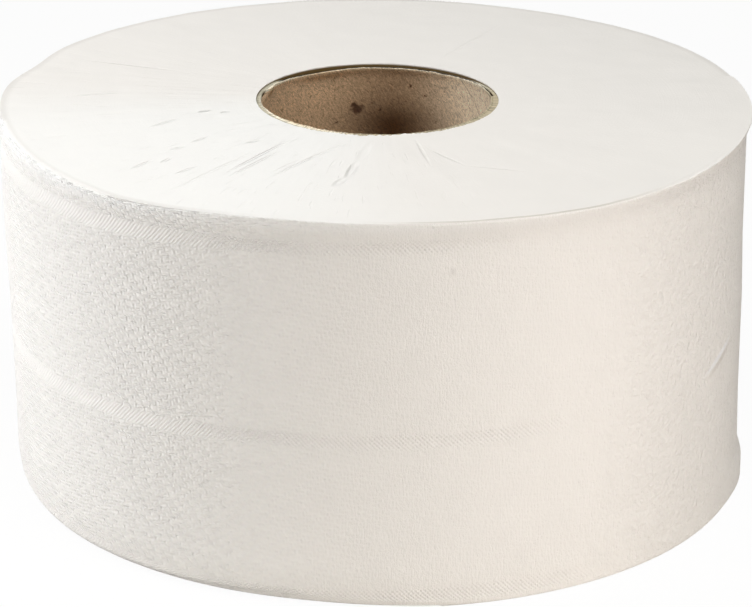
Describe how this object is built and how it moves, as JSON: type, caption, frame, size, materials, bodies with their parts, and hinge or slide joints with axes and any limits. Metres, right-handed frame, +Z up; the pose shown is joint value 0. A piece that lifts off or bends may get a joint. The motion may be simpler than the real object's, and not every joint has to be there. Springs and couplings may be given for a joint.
{
  "type": "toilet paper roll",
  "caption": "Wide toilet tissue roll wound on an open board core, standing on one cut end, for a wall dispenser with a spindle.",
  "frame": {"origin": "on the core's axis, in the plane of the lower cut end that the roll stands on", "axes": "+Z up the core's axis; -Y towards the side that the picture shows; the sheet's loose end lies just behind +X"},
  "size_m": [0.1898, 0.1896, 0.098],
  "materials": {
    "core_board": "matte",
    "tissue": "matte"
  },
  "bodies": {
    "root": {"cardboard_core": "core_board", "wound_paper": "tissue"}
  },
  "joints": []
}
